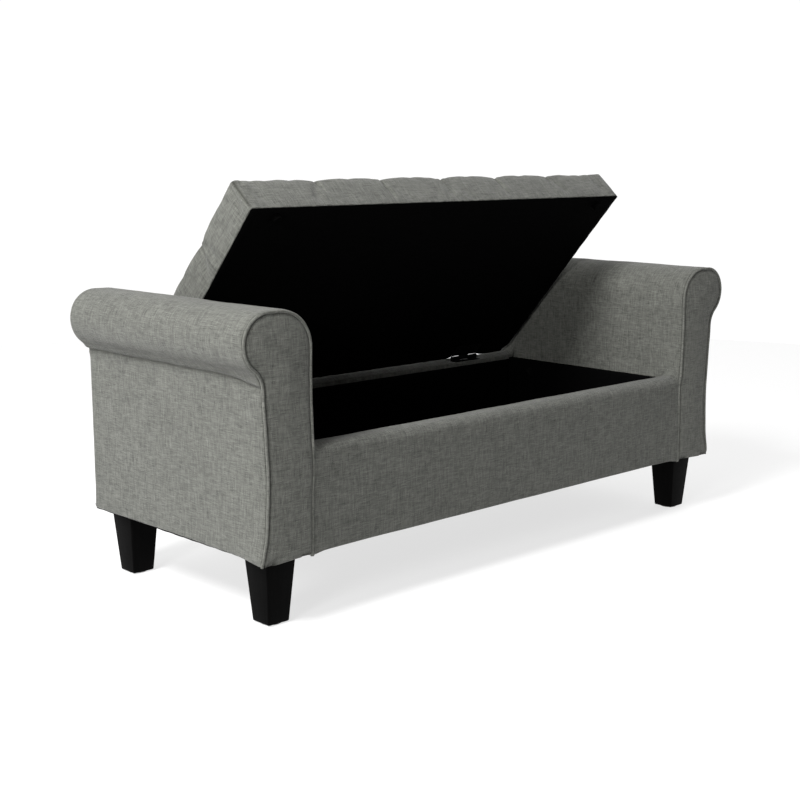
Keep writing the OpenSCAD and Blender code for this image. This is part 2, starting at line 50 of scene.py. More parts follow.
# places that everything is worked out from, all in metres
coverLow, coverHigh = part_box("right_arm_cover")
railLow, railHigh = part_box("front_rail_cover")
rearLow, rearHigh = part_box("rear_rail_cover")
dustLow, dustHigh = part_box("box_dust_cloth")
innerX = coverLow.x
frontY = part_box("right_arm_facing")[0][1]
rearY = coverHigh.y
middleY = (frontY + rearY) / 2
bodyZ = coverLow.z
armZ = coverHigh.z
boxZ = railHigh.z
leafLow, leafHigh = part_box("right_hinge_box_leaf")
hingeX, hingeHalf = (leafLow.x + leafHigh.x) / 2, (leafHigh.x - leafLow.x) / 2
hingeRear = leafHigh.y + 0.0006
lidJoint = frame["joints"][0]
hingeAt = Vector(lidJoint["pos_m"])
openAngle = math.radians(-lidJoint["range_deg"][0])


def smooth(t):
    # eases from 0 to 1
    t = min(max(t, 0.0), 1.0)
    return t * t * (3 - 2 * t)


def bell(t):
    # 1 at the middle, falling off to both sides
    return math.exp(-t * t)


def bells(value, terms):
    # a sum of bells, each with its middle, its reach and its amount
    return sum(amount * bell((value - middle) / reach) for middle, reach, amount in terms)


def bunched(t, amount):
    # draws places from 0 to 1 closer together at both ends
    return t - amount * math.sin(2 * math.pi * t) / (2 * math.pi)


def quarter(t):
    # how far a quarter circle has fallen, from 1 at its edge to 0 at its top
    return 1 - math.sqrt(max(1 - (1 - t) ** 2, 0))


def ripple(point, size, seed):
    # soft noise from -1 to 1, with waves about the given size
    return noise.noise(Vector(point) / size + Vector((seed * 7.3, seed * 3.1, seed * 5.7)))


def addObject(name, data):
    thing = bpy.data.objects.new(name, data)
    bpy.context.scene.collection.objects.link(thing)
    return thing


def fixOrder(bm):
    # operators make edges and faces in any order, and a simulation needs the same one each run
    bm.verts.index_update()
    many = len(bm.verts)
    for parts in (bm.edges, bm.faces):
        parts.sort(key=lambda part: sum(i * many ** (2 - k) for k, i in
                                        enumerate(sorted(v.index for v in part.verts)[:3])))


def finishPiece(bm, name, material):
    bmesh.ops.remove_doubles(bm, verts=bm.verts, dist=0.00002)
    fixOrder(bm)
    mesh = bpy.data.meshes.new(name)
    bm.to_mesh(mesh)
    bm.free()
    mesh.materials.append(material)
    for face in mesh.polygons:
        face.use_smooth = True
    return addObject(name, mesh)


def addSubdivision(piece):
    sub = piece.modifiers.new("Subdivision", "SUBSURF")
    sub.levels = sub.render_levels = 1


def addThickness(piece, thickness):
    solid = piece.modifiers.new("Solidify", "SOLIDIFY")
    solid.thickness = thickness
    solid.offset = -1         # inwards


def sortOut(made):
    # the edges and the vertices that an operator made
    kinds = (bmesh.types.BMEdge, bmesh.types.BMVert)
    return [[g for g in made if isinstance(g, kind)] for kind in kinds]


def pushOut(bm, edges, move=(0, 0, 0)):
    # extrudes edges and moves what is made
    edges, verts = sortOut(bmesh.ops.extrude_edge_only(bm, edges=edges)["geom"])
    bmesh.ops.translate(bm, vec=move, verts=verts)
    return edges, verts


def spinRound(bm, geom, centre, axis, angle, steps):
    made = bmesh.ops.spin(bm, geom=geom, cent=centre, axis=axis, angle=angle, steps=steps)
    return sortOut(made["geom_last"])


def turnOut(bm, inside):
    # faces point away from a place inside the piece
    bmesh.ops.recalc_face_normals(bm, faces=bm.faces)
    outward = sum(f.calc_area() * f.normal.dot(f.calc_center_median() - inside) for f in bm.faces)
    if outward < 0:
        bmesh.ops.reverse_faces(bm, faces=bm.faces)


def laySheetMap(bm, mapPoint):
    # a map in metres, so threads keep their size; mapPoint gives the two coordinates of a corner
    layer = bm.loops.layers.uv.new("weave")
    for face in bm.faces:
        for loop in face.loops:
            loop[layer].uv = mapPoint(loop.vert.co, face)


class Nodes:
    # builds one material
    def __init__(self, name):
        self.material = bpy.data.materials.new(name)
        self.material.use_nodes = True
        self.tree = self.material.node_tree
        self.shader = self.tree.nodes["Principled BSDF"]

    def add(self, kind, **inputs):
        node = self.tree.nodes.new(kind)
        for key, value in inputs.items():
            self.put(node, key, value)
        return node

    def put(self, node, key, value):
        if hasattr(node, key) and not isinstance(value, bpy.types.NodeSocket):
            setattr(node, key, value)
            return
        # i0 is the first input, and so on
        socket = node.inputs[int(key[1:]) if key[1:].isdigit() else key]
        if isinstance(value, bpy.types.NodeSocket):
            self.tree.links.new(value, socket)
        else:
            socket.default_value = value

    def paint(self, values):
        for key, value in values.items():
            self.put(self.shader, key, value)

    def math(self, operation, a, b=0.0):
        return self.add("ShaderNodeMath", operation=operation, i0=a, i1=b).outputs[0]

    def blend(self, a, shareA, b, shareB):
        return self.math("ADD", self.math("MULTIPLY", a, shareA), self.math("MULTIPLY", b, shareB))

    def noise(self, place, scale, detail, **more):
        node = self.add("ShaderNodeTexNoise", i0=place, Scale=scale, Detail=detail, **more)
        return node.outputs[0]

    def place(self, stretch=None):
        # the piece's own coordinates, stretched for grain
        place = self.add("ShaderNodeTexCoord").outputs["Object"]
        if stretch is None:
            return place
        return self.add("ShaderNodeMapping", Scale=stretch, i0=place).outputs[0]

    def mix(self, amount, a, b, blend="MIX"):
        node = self.add("ShaderNodeMix", data_type="RGBA", blend_type=blend, i0=amount, i6=a, i7=b)
        return node.outputs[2]

    def ramp(self, value, stops):
        node = self.add("ShaderNodeValToRGB", i0=value)
        ramp = node.color_ramp
        while len(ramp.elements) < len(stops):
            ramp.elements.new(0.5)
        for element, (place, grey) in zip(ramp.elements, stops):
            element.position = place
            element.color = (grey, grey, grey, 1)
        return node.outputs[0]

    def bump(self, height, distance, strength):
        node = self.add("ShaderNodeBump", Strength=strength, Distance=distance, Height=height)
        return node.outputs[0]


linen = {
    "thread": 0.0016,         # width of one thread
    "long": 0.021,            # how far a thread keeps its tone
    "dark": (0.0310, 0.0317, 0.0277, 1),
    "light": (0.1700, 0.1730, 0.1545, 1),
    "bump": 0.0006,
    # how dark the painted shade goes along seams, creases and recessed edges
    "seam": (0.22, 0.22, 0.20, 1),
}


def threadTone(n, along, across, seed, thicker=1.0, longer=1.0):
    # each thread has its own run of light and dark lengths
    number = n.math("FLOOR", n.math("DIVIDE", across, linen["thread"] * thicker))
    place = n.add("ShaderNodeCombineXYZ", i0=n.math("DIVIDE", along, linen["long"] * longer),
                  i1=n.math("MULTIPLY", number, 7.31), i2=seed)
    return n.noise(place.outputs[0], 1.0, 2.0, Roughness=0.6)


def makeLinen(name, lighten=1.0, seed=0.0, seams=False):
    n = Nodes(name)
    uv = n.add("ShaderNodeUVMap", uv_map="weave").outputs[0]
    split = n.add("ShaderNodeSeparateXYZ", i0=uv)
    # threads wander a little, so the weave isn't a perfect grid
    wander = n.math("MULTIPLY", n.math("SUBTRACT", n.noise(uv, 22.0, 1.0), 0.5), 0.004)
    u, v = n.math("ADD", split.outputs[0], wander), n.math("SUBTRACT", split.outputs[1], wander)
    weft, warp = threadTone(n, u, v, seed), threadTone(n, v, u, seed + 5.0)
    thickWeft = threadTone(n, u, v, seed + 9.0, 2.1, 1.6)
    thickWarp = threadTone(n, v, u, seed + 14.0, 2.1, 1.6)
    # plain weave: at each crossing one of the two threads lies on top
    waves = [n.math("SINE", n.math("MULTIPLY", c, math.pi / linen["thread"])) for c in (u, v)]
    cross = n.math("MULTIPLY", *waves)
    weftOnTop = n.math("ADD", n.math("MULTIPLY", n.math("SIGN", cross), 0.35), 0.5)
    single = n.blend(weft, weftOnTop, warp, n.math("SUBTRACT", 1.0, weftOnTop))
    thick = n.math("MULTIPLY", n.math("ADD", thickWeft, thickWarp), 0.5)
    tone = n.ramp(n.blend(single, 0.80, thick, 0.20), [(0.31, 0.0), (0.69, 1.0)])
    dark, light = ([c * lighten for c in linen[k][:3]] + [1] for k in ("dark", "light"))
    cloth = n.mix(tone, dark, light)
    roundness = n.math("ABSOLUTE", cross)
    # painted shade along the edges of the threads, where they dip between one another
    cloth = n.mix(1.0, cloth, n.ramp(roundness, [(0.0, 0.78), (0.5, 1.0)]), "MULTIPLY")
    cloth = n.mix(1.0, cloth, n.ramp(n.noise(uv, 7.0, 2.0), [(0.3, 0.95), (0.7, 1.0)]), "MULTIPLY")
    if seams:
        # painted shade: the seams flag darkens the cloth along seams, creases and recessed edges,
        # where shade falls
        seamShade = n.add("ShaderNodeAttribute", attribute_name="seam").outputs["Fac"]
        cloth = n.mix(seamShade, cloth, n.mix(1.0, cloth, linen["seam"], "MULTIPLY"))
    height = n.blend(roundness, 0.5, tone, 0.7)
    n.paint({"Base Color": cloth, "Roughness": 0.92, "Specular IOR Level": 0.2,
             "Sheen Weight": 0.12, "Sheen Roughness": 0.5,
             "Normal": n.bump(height, linen["bump"], 0.8)})
    return n.material


def makeBlackCloth(name):
    n = Nodes(name)
    place = n.place()
    fibre = n.blend(n.noise(place, 900.0, 3.0), 0.7, n.noise(place, 70.0, 2.0), 0.3)
    n.paint({"Base Color": n.mix(fibre, (0.0003, 0.0003, 0.0003, 1), (0.0022, 0.0022, 0.0023, 1)),
             "Roughness": 0.95, "Specular IOR Level": 0.02, "Normal": n.bump(fibre, 0.0004, 0.5)})
    return n.material


def makeTimber(name):
    n = Nodes(name)
    stretch = n.place((3.0, 55.0, 55.0))
    grain = n.noise(stretch, 1.6, 6.0, Distortion=0.6)
    fibre = n.noise(stretch, 14.0, 2.0)
    bands = n.ramp(grain, [(0.35, 0.0), (0.65, 1.0)])
    tone = n.mix(bands, (0.36, 0.21, 0.10, 1), (0.62, 0.43, 0.24, 1))
    tone = n.mix(n.math("MULTIPLY", fibre, 0.3), tone, (0.30, 0.17, 0.08, 1))
    n.paint({"Base Color": tone, "Roughness": 0.7, "Normal": n.bump(fibre, 0.0003, 0.4)})
    return n.material


def makeLacquer(name):
    # black paint on wood: satin, with the grain just showing through
    n = Nodes(name)
    grain = n.noise(n.place((160.0, 160.0, 9.0)), 1.0, 3.0)
    peel = n.noise(n.place(), 220.0, 2.0)
    n.paint({"Base Color": n.mix(grain, (0.0004, 0.0004, 0.0004, 1), (0.0020, 0.0019, 0.0019, 1)),
             "Roughness": n.ramp(peel, [(0.3, 0.40), (0.7, 0.50)]), "Specular IOR Level": 0.022,
             "Normal": n.bump(n.blend(grain, 0.7, peel, 0.3), 0.00025, 0.5)})
    return n.material


def makeMetal(name, dark, light, roughness, metallic, gloss=0.5):
    n = Nodes(name)
    lines = n.noise(n.place((60.0, 900.0, 900.0)), 1.0, 3.0)
    n.paint({"Base Color": n.mix(n.noise(n.place(), 300.0, 2.0), dark + (1,), light + (1,)),
             "Roughness": n.ramp(lines, [(0.3, roughness - 0.08), (0.7, roughness + 0.08)]),
             "Metallic": metallic, "Specular IOR Level": gloss,
             "Normal": n.bump(lines, 0.0001, 0.3)})
    return n.material


def makeMoulded(name, dark, light, roughness, gloss=0.5):
    n = Nodes(name)
    wear, pits = n.noise(n.place(), 90.0, 3.0), n.noise(n.place(), 1500.0, 2.0)
    n.paint({"Base Color": n.mix(wear, dark + (1,), light + (1,)),
             "Roughness": n.ramp(wear, [(0.3, roughness - 0.06), (0.7, roughness + 0.08)]),
             "Specular IOR Level": gloss, "Normal": n.bump(pits, 0.0001, 0.35)})
    return n.material


# the rails' linen is the same cloth made darker, painted shade; the piping's is made lighter,
# painted highlight where it catches the light; seams=True turns on painted shade along seams and
# creases
clothGreyShaded = makeLinen("grey linen", lighten=0.92)
clothArm = makeLinen("grey linen arms", seed=21.0, seams=True)
clothLid = makeLinen("grey linen lid", seed=37.0, seams=True)
clothPipingLit = makeLinen("grey linen piping", lighten=1.05, seed=50.0)
clothBlack = makeBlackCloth("black cloth")
timber = makeTimber("pale timber")
lacquer = makeLacquer("black lacquer")
blackMetal = makeMetal("black enamel", (0.0012, 0.0012, 0.0012), (0.0035, 0.0035, 0.0035),
                       0.5, 0.0, 0.08)
zinc = makeMetal("zinc steel", (0.42, 0.42, 0.43), (0.60, 0.60, 0.61), 0.35, 1.0)
rubber = makeMoulded("black rubber", (0.0003, 0.0003, 0.0003), (0.0010, 0.0010, 0.0010), 0.9, 0.02)
nylon = makeMoulded("grey nylon", (0.05, 0.05, 0.05), (0.09, 0.09, 0.09), 0.5)
print("materials made")


# the arms: a is the distance out from an arm's inner side
armShape = {
    "thick": 0.100,
    "rollInR": 0.065,
    "rollOutR": 0.051,
    "neckR": 0.045,
    "cornerR": 0.004,     # along the bottom edges
    "turnUnder": 0.022,   # how far the cover goes under the arm
    "pipingR": 0.0026,
    "seamZ": 0.410,       # where the side panel meets the roll
}
innerR, outerR, neckR = (armShape[k] for k in ("rollInR", "rollOutR", "neckR"))
rollIn = Vector((innerR, 0, armZ - innerR))
rollOut = Vector((coverHigh.x - innerX - outerR, 0, armZ - outerR))
neckX = armShape["thick"] + neckR
neckZ = rollOut.z - math.sqrt((outerR + neckR) ** 2 - (neckX - rollOut.x) ** 2)
neckTurn = math.atan2(rollOut.z - neckZ, neckX - rollOut.x)
joinZ = rollOut.z - outerR * math.sin(neckTurn)


def armSpan(z, inset):
    # the arm's inner and outer side at a height
    low, high = inset, armShape["thick"] - inset
    if z > rollIn.z:
        low = rollIn.x - math.sqrt(max((innerR - inset) ** 2 - (z - rollIn.z) ** 2, 0))
    if z > joinZ:
        high = rollOut.x + math.sqrt(max((outerR - inset) ** 2 - (z - rollOut.z) ** 2, 0))
    elif z > neckZ:
        high = neckX - math.sqrt(max((neckR + inset) ** 2 - (z - neckZ) ** 2, 0))
    return low, high


def armInward(a, z):
    # direction into the arm from a point on its outline
    outerSide = a > armShape["thick"] / 2
    if z > rollIn.z and a < rollIn.x:
        way = (rollIn.x - a, 0, rollIn.z - z)
    elif z > rollOut.z and a < rollOut.x:
        way = (0, 0, -1)
    elif z > joinZ and a > rollIn.x:
        way = (rollOut.x - a, 0, rollOut.z - z)
    elif z > neckZ and outerSide:
        way = (a - neckX, 0, z - neckZ)
    else:
        way = (-1 if outerSide else 1, 0, 0)
    return Vector(way).normalized()


pulls = {
    "reach": 0.055,           # how far back the front edge's pull is felt
    "inner": ((0.262, 0.035, -0.0030), (0.40, 0.07, 0.0025), (bodyZ, 0.035, 0.0006)),
    "outer": ((0.250, 0.070, -0.0050), (bodyZ, 0.030, 0.0085), (0.385, 0.03, 0.0025)),
    "drop": 0.0035,           # how far the bottom corners hang
}


def armPull(point):
    # how the covering is drawn in and out along the front edge of an arm
    a, y, z = point.x - innerX, point.y, point.z
    near = bell((y - frontY) / pulls["reach"])
    outer = smooth((a - 0.02) / 0.06)
    inner = 1 - outer
    shift = inner * bells(z, pulls["inner"]) + outer * bells(z, pulls["outer"])
    drop = -pulls["drop"] * bell((z - bodyZ) / 0.015) * (0.3 * inner + outer)
    return Vector((near * shift, 0, near * drop))


def drawStraight(bm, vert, way, steps):
    for _ in range(steps):
        vert = bmesh.ops.extrude_vert_indiv(bm, verts=[vert])["verts"][0]
        vert.co += way / steps
    return vert


def drawArc(bm, vert, centre, turn, steps, axis=(0, 1, 0)):
    return spinRound(bm, [vert], centre, axis, turn, steps)[1][0]


def drawArmOutline(bm, y):
    s = armShape
    r, under = s["cornerR"], s["turnUnder"]
    at = Vector((innerX, y, 0))
    vert = bmesh.ops.create_vert(bm, co=at + Vector((under, 0, bodyZ)))["vert"][0]
    vert = drawStraight(bm, vert, Vector((r - under, 0, 0)), 2)
    vert = drawArc(bm, vert, at + Vector((r, 0, bodyZ + r)), math.pi / 2, 4)
    vert = drawStraight(bm, vert, Vector((0, 0, rollIn.z - bodyZ - r)), 42)
    vert = drawArc(bm, vert, at + rollIn, math.pi / 2, 18)
    vert = drawStraight(bm, vert, Vector((rollOut.x - rollIn.x, 0, 0)), 3)
    vert = drawArc(bm, vert, at + rollOut, math.pi / 2 + neckTurn, 24)
    vert = drawArc(bm, vert, at + Vector((neckX, 0, neckZ)), -neckTurn, 24)
    vert = drawStraight(bm, vert, Vector((0, 0, bodyZ + r - neckZ)), 34)
    vert = drawArc(bm, vert, at + Vector((s["thick"] - r, 0, bodyZ + r)), math.pi / 2, 4)
    drawStraight(bm, vert, Vector((r - under, 0, 0)), 2)


def outlineLength():
    # distance along the arm's outline from its inner bottom edge, by place
    bm = bmesh.new()
    drawArmOutline(bm, 0)
    bm.verts.ensure_lookup_table()
    points = [v.co.copy() for v in bm.verts]
    bm.free()
    tree = KDTree(len(points))
    lengths, total = [], 0.0
    for i, p in enumerate(points):
        total += (p - points[i - 1]).length if i else 0.0
        lengths.append(total)
        tree.insert(p, i)
    tree.balance()
    return tree, lengths


outlineTree, outlineLengths = outlineLength()


def alongOutline(co):
    return outlineLengths[outlineTree.find(Vector((co.x, 0, co.z)))[1]]


def seamHeight(y, seed):
    # where the side panel meets the roll; it dips towards the front
    toFront = smooth((y - frontY) / 0.10)
    return armShape["seamZ"] - 0.013 * (1 - toFront) + 0.0012 * ripple((0, y, 0), 0.06, seed)


def armSkinDepth(point, seed):
    # how far the side cloth lies under (-) or over (+) its plain shape
    a, y, z = point.x - innerX, point.y, point.z
    depth = 0.0011 * ripple(point, 0.085, seed) + 0.0004 * ripple(point, 0.028, seed + 1)
    if a > armShape["thick"] * 0.6:
        seam = seamHeight(y, seed)
        depth -= coverPiece["seamDeep"] * bell((z - seam) / 0.0036)
        depth += coverPiece["lip"] * smooth((z - seam) / 0.006) * bell((z - seam) / 0.03)
        # the panel pulls into faint upright folds under the seam
        folds = ripple((0, y, z * 0.25), 0.022, seed + 2)
        depth += coverPiece["folds"] * folds * bell((z - seam + 0.02) / 0.035)
    return depth


def mirrorLeft(bm):
    bmesh.ops.scale(bm, vec=(-1, 1, 1), verts=bm.verts)
    bmesh.ops.reverse_faces(bm, faces=bm.faces)


coverPiece = {
    "ringStep": 0.0095,
    "thickness": 0.0014,
    "frontGap": 0.0040,       # from the arm's front to the cover's turned-in edge
    "seamDeep": 0.0026,       # how far the seam under the roll draws in
    "lip": 0.0014,            # how far the roll stands out over it
    "folds": 0.0006,
}


def makeArmCover(side, name, seed):
    bm = bmesh.new()
    seamShade = bm.verts.layers.float.new("seam")
    drawArmOutline(bm, frontY + coverPiece["frontGap"])
    edges = list(bm.edges)
    length = rearY - frontY
    places = [0.0050, 0.0078, 0.0115]
    while places[-1] < length - 0.016:
        places.append(places[-1] + coverPiece["ringStep"])
    places += [length - 0.0075, length - 0.0035, length - 0.0012, length]
    count = len(places)
    # how far the rings at both ends are turned in
    insets = {0: 0.0075, 1: 0.0018, 2: 0.0005, count - 2: 0.0008, count - 1: 0.0028, count: 0.0080}
    rings = [list(bm.verts)]
    last = coverPiece["frontGap"]
    for place in places:
        edges, verts = pushOut(bm, edges, (0, place - last, 0))
        rings.append(verts)
        last = place
    turnOut(bm, Vector((innerX + 0.05, middleY, 0.3)))
    bm.normal_update()
    laySheetMap(bm, lambda co, face: (co.y, alongOutline(co)))
    for i, ring in enumerate(rings):
        for v in ring:
            plain = v.co.copy()
            under = plain.z <= bodyZ + 0.002
            way = Vector((0, 0, 1)) if under else armInward(plain.x - innerX, plain.z)
            v.co += way * (insets.get(i, 0.0) - armSkinDepth(plain, seed)) + armPull(plain)
            # painted shade where the cover turns in at the arm's front, and in the crease under the
            # roll
            v[seamShade] = 0.7 if i < 2 else 0.0
            if plain.x - innerX > armShape["thick"] * 0.6:
                v[seamShade] = max(v[seamShade], 0.30 * bell((plain.z - seamHeight(plain.y, seed)) / 0.0035))
    addArmPanel(bm, rearY - 0.0006, 0.0070, 1, seed, False)
    if side < 0:
        mirrorLeft(bm)
    piece = finishPiece(bm, name, clothArm)
    addThickness(piece, coverPiece["thickness"])
    return piece


def addArmPanel(bm, y, inset, way, seed, crowned):
    # a panel of cloth that fills the outline; way is the side it faces, -1 front and 1 rear
    before = set(bm.verts)
    bmesh.ops.create_grid(bm, x_segments=34, y_segments=110, size=0.5)
    made = [v for v in bm.verts if v not in before]
    lowZ, highZ = bodyZ + (0.0 if crowned else 0.0008), armZ - inset
    faces = set(f for v in made for f in v.link_faces)
    layer = bm.loops.layers.uv.get("weave") or bm.loops.layers.uv.new("weave")
    seamShade = bm.verts.layers.float.get("seam")
    for v in made:
        u, w = v.co.x + 0.5, v.co.y + 0.5
        u, w = bunched(u, 0.80), bunched(w, 0.80)
        z = lowZ + (highZ - lowZ) * w
        a0, a1 = armSpan(z, inset)
        v.co = Vector((innerX + a0 + (a1 - a0) * u, y, z))
    for face in faces:
        for loop in face.loops:
            loop[layer].uv = (loop.vert.co.x + 3.0, loop.vert.co.z)
    for v in made:
        edge = max(outlineTree.find(Vector((v.co.x, 0, v.co.z)))[2] - inset, 0.0)
        if crowned:
            edge = min(edge, max(v.co.z - bodyZ, 0.0) * 4 + 0.001)
            fall = panelCrown(edge, v.co, seed)
            # painted shade along the facing's edge, sunk beside the piping
            v[seamShade] = 0.85 * bell(edge / 0.0035)
        else:
            fall = -0.0016 * smooth(edge / 0.03) - 0.0008 * ripple(v.co, 0.08, seed)
            # painted shade along the rear panel's edge
            v[seamShade] = 0.5 * bell(edge / 0.003)
        plain = v.co.copy()
        v.co.y += way * -fall
        v.co += armPull(plain)
    for face in faces:
        face.normal_update()
        if face.normal.y * way < 0:
            face.normal_flip()


facing = {
    "inset": 0.0032,
    "edgeR": 0.013,
    "sink": 0.0060,           # how deep its edge lies beside the piping
    "puff": 0.0055,           # how far the middle of the roll's end stands out
    "folds": ((0.205, 0.02), (0.168, -0.03), (0.246, 0.015), (0.372, -0.02)),   # height and slope
}


def panelCrown(edge, co, seed):
    # how far behind its highest the facing lies: round at its edges, then nearly flat
    fall = facing["sink"] * quarter(min(edge / facing["edgeR"], 1.0))
    flat = smooth(edge / 0.03)
    # the roll's end is the fullest
    fall -= facing["puff"] * (0.35 + 0.65 * smooth((co.z - 0.36) / 0.06)) * smooth(edge / 0.058)
    fall += 0.0006 * flat * ripple(co, 0.05, seed)
    for z, lean in facing["folds"]:
        fold = co.z - z - lean * (co.x - innerX) + 0.002 * ripple((co.x, 0, z), 0.03, seed)
        fall += 0.00045 * flat * bell(fold / 0.0035) - 0.00035 * flat * bell((fold - 0.005) / 0.004)
    return fall


def makeArmFacing(side, name, seed):
    bm = bmesh.new()
    bm.verts.layers.float.new("seam")
    addArmPanel(bm, frontY + 0.0004, facing["inset"], -1, seed, True)
    # turned back round the edge of its board
    rim = [e for e in bm.edges if e.is_boundary]
    for _ in range(2):
        rim = pushOut(bm, rim, (0, 0.002, 0))[0]
    if side < 0:
        mirrorLeft(bm)
    piece = finishPiece(bm, name, clothArm)
    addThickness(piece, 0.0012)
    return piece


def drawPipe(bm, radius, sides, start, runs):
    # a round cord swept along straight runs and bends in x and z
    made = bmesh.ops.create_circle(bm, cap_ends=True, radius=radius, segments=sides,
                                   matrix=Matrix.Translation(start))
    ring = list(made["verts"])
    edges = list({e for v in ring for e in v.link_edges if all(w in ring for w in e.verts)})
    for kind, value, centre, steps in runs:
        if kind == "straight":
            for _ in range(steps):
                edges, ring = pushOut(bm, edges, value / steps)
        else:
            edges, ring = spinRound(bm, edges + ring, centre, (0, 1, 0), value, steps)
    bmesh.ops.contextual_create(bm, geom=edges)


def makePiping(side, name, seed):
    s = armShape
    r = s["pipingR"]
    bm = bmesh.new()
    y = frontY + r + 0.0002
    at = Vector((innerX, y, 0))
    tail = 0.0045
    inset = r - 0.0002
    runs = [
        ("straight", Vector((0, 0, rollIn.z - bodyZ + tail)), None, 52),
        ("bend", math.pi / 2, at + rollIn, 26),
        ("straight", Vector((rollOut.x - rollIn.x, 0, 0)), None, 4),
        ("bend", math.pi / 2 + neckTurn, at + rollOut, 34),
        ("bend", -neckTurn, at + Vector((neckX, 0, neckZ)), 16),
        ("straight", Vector((0, 0, bodyZ - tail - neckZ)), None, 44),
    ]
    drawPipe(bm, r, 12, at + Vector((inset, 0, bodyZ - tail)), runs)
    bm.normal_update()
    bmesh.ops.recalc_face_normals(bm, faces=bm.faces)
    laySheetMap(bm, lambda co, face: (alongOutline(co), (co.y - y) * 1.5 + 0.004 * face.normal.x))
    for v in bm.verts:
        plain = v.co.copy()
        # the inner end is a folded knot, the outer one turns under the arm
        innerSide = plain.x - innerX < s["thick"] / 2
        end = bell((plain.z - bodyZ + tail) / 0.006)
        axisA = inset if innerSide else s["thick"] - inset
        if plain.z < bodyZ + 0.03 and innerSide:
            v.co.x += (plain.x - innerX - axisA) * 0.8 * end
            v.co.y += (plain.y - y) * 0.6 * end + 0.0015 * end
        elif plain.z < bodyZ + 0.03:
            v.co.z = max(v.co.z, bodyZ + 0.0006 + (plain.z - bodyZ) * 0.3)
            v.co.y += 0.004 * bell((plain.z - bodyZ) / 0.005)
        if innerSide:
            # beside the rail the cord lies deeper
            v.co.y += 0.0016 * smooth((boxZ - plain.z) / 0.02)
        v.co += armPull(plain)
        v.co += 0.0003 * Vector((ripple(plain, 0.03, seed), 0, ripple(plain, 0.03, seed + 3)))
    if side < 0:
        mirrorLeft(bm)
    piece = finishPiece(bm, name, clothPipingLit)
    addSubdivision(piece)
    return piece


for side, word, seed in ((-1, "left", 3), (1, "right", 11)):
    cover = makeArmCover(side, word + "ArmUpholstery", seed)
    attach(cover, "base")
    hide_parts(word + "_arm_cover", word + "_arm_side_padding", word + "_arm_roll_padding")
    panel = makeArmFacing(side, word + "ArmFront", seed + 30)
    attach(panel, "base")
    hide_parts(word + "_arm_facing")
    cord = makePiping(side, word + "ArmWelt", seed + 60)
    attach(cord, "base")
    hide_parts(word + "_arm_piping")
print("arms made")


# the covered rails of the box
rails = {
    "faceR": 0.015,
    "rearFaceR": 0.008,
    "innerR": 0.0035,
    "cornerR": 0.004,
    "turnUnder": 0.036,
    "turnIn": 0.010,
    "filletR": 0.020,         # where the cloth climbs at the arms
    "steps": 128,
    "thickness": 0.0013,
    "crown": 0.0065,          # how far the rear rail's padding stands up behind the hinges
}


def nearHinge(x, reach):
    # 1 along a hinge leaf, falling to 0 beside it
    return bell(max(abs(abs(x) - hingeX) - hingeHalf, 0) / reach)


def rearCrown(point):
    hinge = nearHinge(point.x, 0.010)
    between, behind = smooth((point.y - rearLow.y) / 0.020), smooth((point.y - hingeRear) / 0.004)
    across = between * (1 - hinge) + behind * hinge
    return across * (rails["crown"] + 0.0004 * ripple(point, 0.11, 44))


